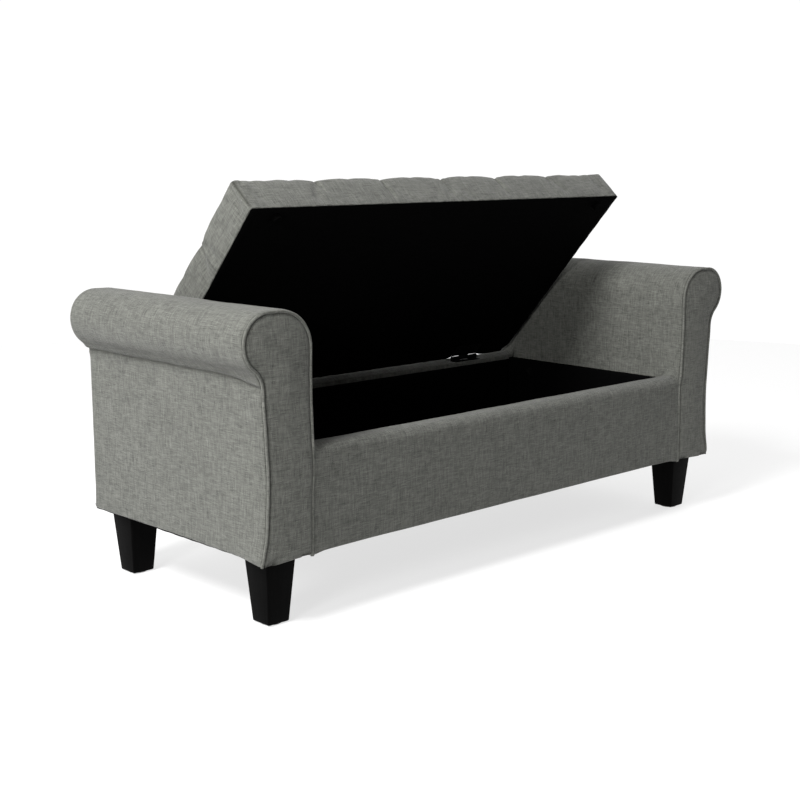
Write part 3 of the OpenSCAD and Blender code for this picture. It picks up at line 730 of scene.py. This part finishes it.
def makeRailCover(name, faceY, insideY, faceR, seed):
    way = 1 if insideY > faceY else -1      # from the face towards the box
    bm = bmesh.new()
    x0 = -innerX - 0.0012
    axis = (way, 0, 0)
    turn = math.pi / 2
    vert = bmesh.ops.create_vert(bm, co=(x0, insideY, boxZ - rails["turnIn"]))["vert"][0]
    vert = drawStraight(bm, vert, Vector((0, 0, rails["turnIn"] - rails["innerR"])), 3)
    inner = rails["innerR"]
    vert = drawArc(bm, vert, (x0, insideY - way * inner, boxZ - inner), turn, 4, axis)
    run = abs(insideY - faceY) - inner - faceR
    vert = drawStraight(bm, vert, Vector((0, -way * run, 0)), 6)
    vert = drawArc(bm, vert, (x0, faceY + way * faceR, boxZ - faceR), turn, 8, axis)
    corner = rails["cornerR"]
    vert = drawStraight(bm, vert, Vector((0, 0, bodyZ + corner - boxZ + faceR)), 24)
    vert = drawArc(bm, vert, (x0, faceY + way * corner, bodyZ + corner), turn, 4, axis)
    under = min(rails["turnUnder"], abs(insideY - faceY) - 0.0005)
    drawStraight(bm, vert, Vector((0, way * (under - corner), 0)), 2)
    edges = list(bm.edges)
    # closer rings near the arms, where the cloth climbs
    count = rails["steps"]
    stops = [bunched(i / count, 0.7) for i in range(count + 1)]
    for i in range(count):
        edges = pushOut(bm, edges, ((stops[i + 1] - stops[i]) * -2 * x0, 0, 0))[0]
    turnOut(bm, Vector((0, (faceY + insideY) / 2, (bodyZ + boxZ) / 2)))
    laySheetMap(bm, lambda co, face: (co.x, co.z if abs(face.normal.z) < 0.7
                                      else boxZ + abs(co.y - faceY)))
    for v in bm.verts:
        plain = v.co.copy()
        top = smooth((plain.z - boxZ + 0.024) / 0.020)
        faceSide = smooth(1 - abs(plain.y - faceY) / 0.012)
        near = innerX - abs(plain.x)
        climb = rails["filletR"] * quarter(min(max(near, 0) / rails["filletR"], 1.0))
        v.co.z += climb * top * 0.8
        # padding swells a little along the middle of the face and top
        swell = 0.0012 * ripple(plain, 0.10, seed) + 0.0005 * ripple(plain, 0.03, seed + 5)
        mid = smooth((plain.z - bodyZ) / 0.05) * smooth((boxZ - plain.z) / 0.02)
        v.co.y -= way * faceSide * (swell + 0.0016 * mid)
        v.co.z += top * 0.0010 * ripple(plain, 0.09, seed + 8)
        if way < 0:
            v.co.z += smooth((plain.z - boxZ + 0.0085) / 0.0075) * rearCrown(plain)
        # pulled folds that run in from the arms along the bottom
        pull = bell(near / 0.05) * bell((plain.z - bodyZ) / 0.03) * faceSide
        v.co.y -= way * 0.0012 * pull
        v.co.z -= 0.0035 * bell(near / 0.016) * bell((plain.z - bodyZ) / 0.012)
    piece = finishPiece(bm, name, clothGreyShaded)
    addThickness(piece, rails["thickness"])
    return piece


for word, faceY, insideY, faceR, seed in (("front", railLow.y, railHigh.y, rails["faceR"], 5),
                                          ("rear", rearHigh.y, rearLow.y, rails["rearFaceR"], 9)):
    cover = makeRailCover(word + "RailUpholstery", faceY, insideY, faceR, seed)
    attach(cover, "base")
    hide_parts(word + "_rail_cover", word + "_rail_padding")
print("rails made")


# the lid, built shut and then turned open about the hinge axis
lidPlace = Matrix.Translation(hingeAt) @ Matrix.Rotation(-openAngle, 4, "X")


def lidBox(node):
    # a lid node's corners as it lies shut, from the hinge axis
    back = lidPlace.inverted()
    points = [back @ v.co for v in frame["nodes"][node].data.vertices]
    return [Vector([pick(p[i] for p in points) for i in range(3)]) for pick in (min, max)]


lidLow, lidHigh = lidBox("lid_cover")
middleLidY = (lidLow.y + lidHigh.y) / 2

lidPad = {
    "columnSeams": (-0.310, -0.155, 0.0, 0.155, 0.310),
    "rowSeams": (-0.333, -0.147),
    "cells": 24,             # faces across one pad
    "bunch": 0.62,           # how much closer they lie at the seams
    "edgeR": 0.004,
    "frontR": 0.0055,
    "rearR": 0.030,
    "valley": 0.0135,        # how deep the seams lie
    "notch": 0.0048,         # how deep they cut the edge
    "pressure": 4.0,
    "grow": -0.035,
    "frames": 20,
    "topCap": 0.013,
    "sideCap": 0.0022,
    "bead": 0.0046,          # how far the turned-under cloth hangs at the rear edge
    "footR": 0.0012,         # where the band turns under
    "pleat": 0.0026,         # how deep the pleats down the band are
    "lip": 0.0006,
    "wave": 0.0009,
}


def lidCorner(y):
    return lidPad["frontR"] if y < middleLidY else lidPad["rearR"]


def roundPlan(x, y, inset):
    # moves a point of the square-cornered plan to the round-cornered one
    rear = y > middleLidY
    side, fore = (1 if x > 0 else -1), (1 if rear else -1)
    r = lidCorner(y) - inset
    cx = lidHigh.x - inset - r
    cy = lidHigh.y - inset - r if rear else lidLow.y + inset + r
    s, t = (abs(x) - cx) / r, fore * (y - cy) / r
    if s <= 0 or t <= 0:
        return x, y
    return (side * (cx + r * s * math.sqrt(1 - t * t / 2)),
            cy + fore * r * t * math.sqrt(1 - s * s / 2))


def planOutward(x, y):
    # direction out of the lid's outline, seen from above
    r = lidCorner(y)
    cx = lidHigh.x - r
    low, high = lidLow.y + lidPad["frontR"], lidHigh.y - lidPad["rearR"]
    way = Vector((x - min(max(x, -cx), cx), y - min(max(y, low), high), 0))
    return way.normalized() if way.length > 1e-6 else Vector((0, -1, 0))


def rearBead(x, y):
    # how far the cloth turned under the rear edge hangs down, clear of the hinges
    hinge = nearHinge(x, 0.009)
    across = min(max((y - lidHigh.y + 0.0112) / 0.010, 0.0), 1.0)
    return lidPad["bead"] * across * (1 - hinge) * smooth((lidHigh.x - abs(x)) / 0.03)


def padPlace(index, stops):
    k, t = divmod(index, lidPad["cells"])
    if k >= len(stops) - 1:
        return stops[-1]
    return stops[k] + (stops[k + 1] - stops[k]) * bunched(t / lidPad["cells"], lidPad["bunch"])


def arch(value, stops):
    # 0 at each seam, 1 midway between two, and only a little down at the lid's own edges
    for k, (a, b) in enumerate(zip(stops, stops[1:])):
        if a <= value <= b or k == len(stops) - 2:
            t = 2 * (value - a) / (b - a) - 1
            outer = (k == 0 and t < 0) or (k == len(stops) - 2 and t > 0)
            return 1 - (0.16 * abs(t) ** 3 if outer else abs(t) ** 2.2)
    return 0.0


def makeLidCushion():
    p = lidPad
    inset = p["edgeR"]
    columns = [lidLow.x + inset, *p["columnSeams"], lidHigh.x - inset]
    rows = [lidLow.y + inset, *p["rowSeams"], lidHigh.y - inset]
    wideX, wideY = p["cells"] * (len(columns) - 1), p["cells"] * (len(rows) - 1)
    bm = bmesh.new()
    bmesh.ops.create_grid(bm, x_segments=wideX, y_segments=wideY, size=1.0)
    group = bm.verts.layers.deform.verify()
    cap = bm.verts.layers.float.new("cap")
    seamShade = bm.verts.layers.float.new("seam")
    layer = bm.loops.layers.uv.new("weave")
    top = lidHigh.z
    for v in bm.verts:
        i, j = round((v.co.x + 1) / 2 * wideX), round((v.co.y + 1) / 2 * wideY)
        x, y = padPlace(i, columns), padPlace(j, rows)
        onSeam = any(k % p["cells"] == 0 and 0 < k < wide for k, wide in ((i, wideX), (j, wideY)))
        across, along = arch(x, columns), arch(y, rows)
        fromEnd, fromFront = min(x - columns[0], columns[-1] - x), min(y - rows[0], rows[-1] - y)
        edge = min(fromEnd, fromFront)
        inside = smooth(edge / 0.035)
        # across the edge only the crossing seams pull it down
        low = top - 0.0005 - p["notch"] * (1 - (along if fromEnd < fromFront else across))
        deep = top - p["valley"] + 0.0085 * across * along
        z = low * (1 - inside) + deep * inside
        x, y = roundPlan(x, y, inset)
        v.co = Vector((x, y, z))
        v[group][0] = 1.0 if onSeam and edge > 0.002 else 0.0
        v[cap] = p["topCap"]
        # painted shade down the seam valleys between the pads
        v[seamShade] = 0.5 if onSeam else 0.0
    for face in bm.faces:
        for loop in face.loops:
            loop[layer].uv = (loop.vert.co.x, loop.vert.co.y)
    # sides: a tight edge, then straight down and under
    bottom = lidLow.z - 0.0003
    rim = [e for e in bm.edges if e.is_boundary]
    steps = [("edge", math.radians(a)) for a in (30, 60, 90)]
    steps += [("side", t / 9) for t in range(1, 10)]
    steps += [("foot", math.radians(a)) for a in (45, 90)]
    steps += [("under", 0.010), ("under", 0.018)]
    start = {}
    footR = p["footR"]
    for kind, value in steps:
        rim, verts = pushOut(bm, rim)
        for v in verts:
            if kind == "edge" and value < 0.6:
                start[v] = (v.co.copy(), planOutward(v.co.x, v.co.y))
            else:
                # the vertex above it, which was placed a ring ago
                start[v] = next(start[w] for w in (e.other_vert(v) for e in v.link_edges)
                                if w in start and w not in verts)
            base, out = start[v]
            wallTop = base.z - inset
            if kind == "edge":
                v.co = base + out * inset * math.sin(value)
                v.co.z -= inset * (1 - math.cos(value))
            elif kind == "side":
                v.co = base + out * inset
                v.co.z = wallTop + (bottom + footR - wallTop) * value
            elif kind == "foot":
                v.co = base + out * (inset - footR * (1 - math.cos(value)))
                v.co.z = bottom + footR * (1 - math.sin(value))
            else:
                v.co = base + out * (inset - footR - value)
                v.co.z = bottom
            v[group][0] = {"edge": 0.25, "side": 0.15}.get(kind, 1.0)
            v[cap] = p["sideCap"]
            v[seamShade] = 0.0
        for face in {f for e in rim for f in e.link_faces}:
            face.normal_update()
            flatWay = abs(face.normal.x) > abs(face.normal.y)
            for loop in face.loops:
                co = loop.vert.co
                drop = co.z if kind in ("edge", "side", "foot") else bottom - 0.01
                loop[layer].uv = (co.y + 2.0 if flatWay else co.x, drop + 1.0)
    turnOut(bm, Vector((0, middleLidY, 0.04)))
    piece = finishPiece(bm, "lidCushion", clothLid)
    piece.vertex_groups.new(name="held")
    inflate(piece)
    dressLid(piece)
    piece.data.transform(lidPlace)
    addSubdivision(piece)
    return piece


def inflate(piece):
    # puffs the pads out between their held seams, and keeps each point near its start
    p = lidPad
    mesh = piece.data
    before = [v.co.copy() for v in mesh.vertices]
    caps = [d.value for d in mesh.attributes["cap"].data]
    cloth = piece.modifiers.new("Cloth", "CLOTH")
    s = cloth.settings
    s.quality = 6
    s.mass = 0.15
    s.tension_stiffness = s.compression_stiffness = 18
    s.shear_stiffness = 8
    s.bending_stiffness = 0.4
    s.use_pressure = True
    s.uniform_pressure_force = p["pressure"]
    s.shrink_min = p["grow"]
    s.vertex_group_mass = "held"
    s.pin_stiffness = 1.0
    s.effector_weights.gravity = 0
    cloth.collision_settings.use_collision = False
    scene = bpy.context.scene
    scene.frame_start, scene.frame_end = 1, p["frames"]
    cloth.point_cache.frame_start, cloth.point_cache.frame_end = 1, p["frames"]
    for number in range(1, p["frames"] + 1):
        scene.frame_set(number)
    ready = piece.evaluated_get(bpy.context.evaluated_depsgraph_get()).data
    after = [v.co.copy() for v in ready.vertices]
    piece.modifiers.remove(cloth)
    scene.frame_set(1)
    for v, a, b, most in zip(mesh.vertices, before, after, caps):
        move = b - a
        v.co = a + move * (min(move.length, most) / move.length if move.length > 1e-9 else 0)
    mesh.update()


def pleatAt(along, z, seams, seed):
    # how strong the nearest pleat down the band is, and the lip beside it
    pleat = max(bell((along - s - 0.003 * ripple((s, 0, z), 0.05, seed)) / 0.0032) for s in seams)
    return pleat, max(bell((along - s - 0.007) / 0.004) for s in seams)


def dressLid(piece):
    # pleats down the band and the sewn corners, put in after the pads have swollen
    p = lidPad
    top, bottom = lidHigh.z, lidLow.z
    lines = piece.data.attributes["seam"].data
    for v in piece.data.vertices:
        x, y, z = v.co
        edge = min(x - lidLow.x, lidHigh.x - x, y - lidLow.y, lidHigh.y - y)
        if edge > 0.02:
            v.co.z += 0.0005 * ripple((x, y, 0), 0.05, 71) + 0.00025 * ripple((x, y, 0), 0.018, 72)
            continue
        out = planOutward(x, y)
        wall = smooth((0.008 - edge) / 0.006)
        height = (z - bottom) / (top - bottom)
        pleat, lip, wave, tone = 0.0, 0.0, 0.0, 0.0
        if abs(out.y) > 0.9:
            pleat, lip = pleatAt(x, z, p["columnSeams"], 80)
            wave = ripple((x, 0, z * 0.5), 0.06, 74)
            tone = 0.38 * smooth((height - 0.4) / 0.45)
        elif abs(out.x) > 0.9:
            pleat, lip = pleatAt(y, z, p["rowSeams"], 81)
            wave = ripple((y, 0, z * 0.5), 0.06, 75)
            tone = 0.45
        reach = smooth((height - 0.25) / 0.6)
        bulge = (p["lip"] * lip - p["pleat"] * pleat) * reach
        bulge += p["wave"] * wave * smooth(height * 3)
        v.co += out * wall * bulge
        # painted shade in the pleats, stronger towards the top of the front and rear bands
        lines[v.index].value = max(lines[v.index].value, tone * smooth((pleat - 0.4) / 0.4) * wall)
        # the sewn upright seam at each front corner, drawn in, with painted shade along it
        if y < middleLidY and min(abs(out.x), abs(out.y)) > 0.3:
            v.co -= out * 0.0010 * smooth(height * 4)
            lines[v.index].value = 0.8 * smooth(height * 6)
        v.co.z -= rearBead(x, y) * smooth((bottom + 0.012 - z) / 0.010)
        if bottom + 0.0010 < z < bottom + 0.016 and wall > 0.9:
            # over the board's edge the cloth can't sink in
            if abs(out.x) > 0.9:
                v.co.x = math.copysign(max(abs(v.co.x), lidHigh.x), x)
            if abs(out.y) > 0.9:
                v.co.y = min(v.co.y, lidLow.y) if y < middleLidY else lidHigh.y
    piece.data.update()


cushion = makeLidCushion()
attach(cushion, "lid")
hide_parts("lid_cover", "lid_foam")
print("lid cushion made")


# stretched black cloths under the arms, the box and the lid
underCloth = {
    "mesh": 0.011,
    "thickness": 0.0006,
    "staples": 0.042,         # from one to the next
    "pucker": 0.00035,
    "sag": 0.0007,
    "wave": 0.00045,
    "belowBoard": 0.0007,
}


def makeUnderCloth(name, low, high, seed, drop=0.0, cut=None, hang=None):
    # a flat cloth stapled round its edge, with small puckers; cut takes off its corners
    p = underCloth
    bm = bmesh.new()
    wide, long = high.x - low.x, high.y - low.y
    countX, countY = (max(int(size / p["mesh"]), 6) for size in (wide, long))
    bmesh.ops.create_grid(bm, x_segments=countX, y_segments=countY, size=0.5)
    for v in bm.verts:
        v.co = Vector((low.x + wide * (v.co.x + 0.5), low.y + long * (v.co.y + 0.5), low.z - drop))
    if cut:
        for sx in (-1, 1):
            for sy, size in ((-1, cut[0] / 2), (1, cut[1] / 2)):
                corner = (low + high) / 2
                corner += Vector((sx * (wide / 2 - size), sy * (long / 2 - size), -corner.z))
                bmesh.ops.bisect_plane(bm, geom=bm.verts[:] + bm.edges[:] + bm.faces[:],
                                       plane_co=corner, plane_no=Vector((sx, sy, 0)).normalized(),
                                       clear_outer=True)
    for v in bm.verts:
        edge = min(v.co.x - low.x, high.x - v.co.x, v.co.y - low.y, high.y - v.co.y)
        staples = math.sin((v.co.x + v.co.y) * 2 * math.pi / p["staples"])
        pucker = bell(edge / 0.014) * p["pucker"] * staples
        wave = p["wave"] * ripple(v.co, 0.07, seed) * smooth(edge / 0.02)
        v.co.z -= p["sag"] * smooth(edge / 0.05) + wave + pucker
        if hang:
            v.co.z -= hang(v.co.x, v.co.y)
    bm.normal_update()
    if sum(f.normal.z for f in bm.faces) > 0:
        bmesh.ops.reverse_faces(bm, faces=bm.faces)
    cloth = finishPiece(bm, name, clothBlack)
    addThickness(cloth, p["thickness"])
    return cloth


for word, seed in (("left", 90), ("right", 91)):
    low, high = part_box(word + "_arm_dust_cloth")
    cloth = makeUnderCloth(word + "ArmUnderCloth", low, high, seed, underCloth["belowBoard"])
    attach(cloth, "base")
    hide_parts(word + "_arm_dust_cloth")
cloth = makeUnderCloth("boxUnderCloth", dustLow, dustHigh, 92, underCloth["belowBoard"])
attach(cloth, "base")
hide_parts("box_dust_cloth")
low, high = lidBox("lid_underside_cloth")
low, high = low + Vector((-0.0018, -0.0018, -0.0003)), high + Vector((0.0018, 0.0018, 0))
cloth = makeUnderCloth("lidUnderCloth", low, high, 93, cut=(0.002, 0.017), hang=rearBead)
cloth.data.transform(lidPlace)
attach(cloth, "lid")
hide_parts("lid_underside_cloth")
print("under cloths made")


# black linings of the box
lining = {"gap": 0.0006, "thickness": 0.0008, "overTop": 0.0125, "edgeR": 0.003}


def makeSideLining(side, word):
    # up the inside of the box and over the top edge of its side board
    low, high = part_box(word + "_lining")
    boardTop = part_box(word + "_side_board")[1].z
    inner = min(abs(low.x), abs(high.x))
    y0, y1 = low.y - 0.0028, high.y + 0.0028
    bm = bmesh.new()
    count = 44
    at = Vector((inner, y0, low.z))
    vert = bmesh.ops.create_vert(bm, co=at)["vert"][0]
    riseTo = boardTop + lining["gap"] + lining["thickness"]
    r = lining["edgeR"]
    vert = drawStraight(bm, vert, Vector((0, 0, riseTo - r - low.z)), 12)
    vert = drawArc(bm, vert, (inner + r, y0, riseTo - r), math.pi / 2, 4)
    drawStraight(bm, vert, Vector((lining["overTop"], 0, 0)), 3)
    edges = list(bm.edges)
    for _ in range(count):
        edges = pushOut(bm, edges, (0, (y1 - y0) / count, 0))[0]
    for v in bm.verts:
        v.co.x -= 0.0006 * ripple(v.co, 0.05, 97) * smooth((riseTo - v.co.z) / 0.01)
    turnOut(bm, Vector((inner + 0.02, 0, 0.2)))
    if side < 0:
        mirrorLeft(bm)
    length = riseTo - low.z - r + r * math.pi / 2 + lining["overTop"]
    cloth = finishPiece(bm, word + "BoxLining", clothBlack)
    addThickness(cloth, lining["thickness"])
    return cloth, (y1 - y0, length)


def makeEndLining(word):
    low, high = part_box(word + "_lining")
    y = high.y if word == "front" else low.y
    way = 1 if word == "front" else -1
    bm = bmesh.new()
    bmesh.ops.create_grid(bm, x_segments=90, y_segments=14, size=0.5)
    wide, tall = high.x - low.x, high.z - low.z
    for v in bm.verts:
        u, w = v.co.x + 0.5, v.co.y + 0.5
        v.co = Vector((low.x + wide * u, y, low.z + tall * w))
        v.co.y += way * 0.0006 * ripple(v.co, 0.05, 98) * smooth(w / 0.1) * smooth((1 - w) / 0.1)
    bm.normal_update()
    if sum(f.normal.y for f in bm.faces) * way < 0:
        bmesh.ops.reverse_faces(bm, faces=bm.faces)
    cloth = finishPiece(bm, word + "BoxLining", clothBlack)
    addThickness(cloth, lining["thickness"])
    return cloth, (wide, tall)


for side, word in ((-1, "left"), (1, "right"), (0, "front"), (0, "rear")):
    cloth, flat = makeSideLining(side, word) if side else makeEndLining(word)
    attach(cloth, "base")
    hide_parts(word + "_lining")
print("linings made")


# the legs
leg = {"footW": 0.043, "bevel": 0.0028, "segments": 4}


def makeLeg(node, name):
    low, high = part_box(node)
    centre = (low + high) / 2
    bm = bmesh.new()
    bmesh.ops.create_cube(bm, size=1.0)
    bmesh.ops.scale(bm, vec=high - low, verts=bm.verts)
    bmesh.ops.translate(bm, vec=centre, verts=bm.verts)
    foot = [v for v in bm.verts if v.co.z < centre.z]
    shrink = leg["footW"] / (high.x - low.x)
    bmesh.ops.scale(bm, vec=(shrink, shrink, 1), space=Matrix.Translation(-centre), verts=foot)
    upright = [e for e in bm.edges if abs(e.verts[0].co.z - e.verts[1].co.z) > 0.05]
    bmesh.ops.subdivide_edges(bm, edges=upright, cuts=3)
    sharp = [e for e in bm.edges if e.calc_face_angle(0) > 0.5]
    bmesh.ops.bevel(bm, geom=sharp, offset=leg["bevel"], offset_type="OFFSET", affect="EDGES",
                    segments=leg["segments"], profile=0.5, material=-1, clamp_overlap=True)
    for v in bm.verts:
        # hand-sanded faces aren't perfectly flat
        v.co.x += 0.0002 * ripple(v.co, 0.03, 95)
        v.co.y += 0.0002 * ripple(v.co, 0.03, 96)
    bmesh.ops.recalc_face_normals(bm, faces=bm.faces)
    return finishPiece(bm, name, lacquer)


for end in ("front", "rear"):
    for word in ("left", "right"):
        node = end + "_" + word + "_leg"
        block = makeLeg(node, end + word.title() + "Foot")
        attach(block, "base")
        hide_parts(node)
print("legs made")


# materials of the CAD pieces that stay as they are, by words in their names
finishes = {
    timber: ("board", "rails", "_rail", "slats"),
    clothBlack: ("lining", "storage_floor"),
    blackMetal: ("hinge_box_leaf", "hinge_lid_leaf", "pin", "screws", "arm_bolts", "washers"),
    zinc: ("leg_bolts", "nuts"),
    rubber: ("bumpers",),
    nylon: ("glides",),
}
for node, piece in frame["nodes"].items():
    if piece.hide_render:
        continue
    finish = next(m for m, words in finishes.items() if any(word in node for word in words))
    piece.data.materials.clear()
    piece.data.materials.append(finish)
print("finishes given")


# floor, light and camera
studio = {
    "floor": (0.28, 0.28, 0.28, 1),
    "floorGlow": 0.70,
    "floorR": 3.2,
    "skyBack": 1.03,          # the wall behind the bench
    "skyFront": 0.18,         # the dimmer side of the room
    "skyWay": (0.45, 0.75, 0.5),
    "lights": (
        {"name": "highSoftbox", "at": (-3.15, -0.55, 3.2), "size": 1.2, "power": 270},
        {"name": "sideSoftbox", "at": (-4.3, -1.7, 1.65), "size": 1.0, "power": 98},
    ),
    "lensMm": 62.14,
    "cameraAt": (-1.88998, -1.90173, 0.75506),   # y is from the middle of the arms
    "turn": (79.819, 0, -43.68),
    "shift": (0.00155, 0.0008),
}


def makeFloor():
    bm = bmesh.new()
    bmesh.ops.create_circle(bm, cap_ends=True, radius=studio["floorR"], segments=96)
    n = Nodes("floor")
    n.paint({"Base Color": studio["floor"], "Roughness": 0.9, "Specular IOR Level": 0.1,
             "Emission Color": (1, 1, 1, 1), "Emission Strength": studio["floorGlow"]})
    floor = finishPiece(bm, "floor", n.material)


def makeSky():
    # a room with one bright wall, dim on the other side
    world = bpy.data.worlds.new("studio")
    bpy.context.scene.world = world
    world.use_nodes = True
    tree = world.node_tree
    place = tree.nodes.new("ShaderNodeTexCoord")
    dot = tree.nodes.new("ShaderNodeVectorMath")
    dot.operation = "DOT_PRODUCT"
    dot.inputs[1].default_value = Vector(studio["skyWay"]).normalized()
    turn = tree.nodes.new("ShaderNodeMapRange")
    turn.interpolation_type = "SMOOTHSTEP"
    for i, value in ((1, -0.1), (2, 0.7), (3, studio["skyFront"]), (4, studio["skyBack"])):
        turn.inputs[i].default_value = value
    tree.links.new(place.outputs["Generated"], dot.inputs[0])
    tree.links.new(dot.outputs["Value"], turn.inputs[0])
    tree.links.new(turn.outputs[0], tree.nodes["Background"].inputs["Strength"])
    tree.nodes["Background"].inputs["Color"].default_value = (1, 1, 1, 1)


makeFloor()
makeSky()
for light in studio["lights"]:
    lamp = bpy.data.lights.new(light["name"], "AREA")
    lamp.shape = "DISK"
    lamp.size = light["size"]
    lamp.energy = light["power"]
    softbox = addObject(light["name"], lamp)
    softbox.location = light["at"]
    way = Vector((0, 0, 0.35)) - Vector(light["at"])
    softbox.rotation_euler = way.to_track_quat("-Z", "Y").to_euler()

lens = bpy.data.cameras.new("camera")
lens.lens = studio["lensMm"]
lens.sensor_width = 36
lens.shift_x, lens.shift_y = studio["shift"]
camera = addObject("camera", lens)
camera.location = Vector(studio["cameraAt"]) + Vector((0, middleY, 0))
camera.rotation_euler = [math.radians(a) for a in studio["turn"]]
bpy.context.scene.camera = camera
bpy.context.scene.view_settings.view_transform = "Standard"
print("studio made")
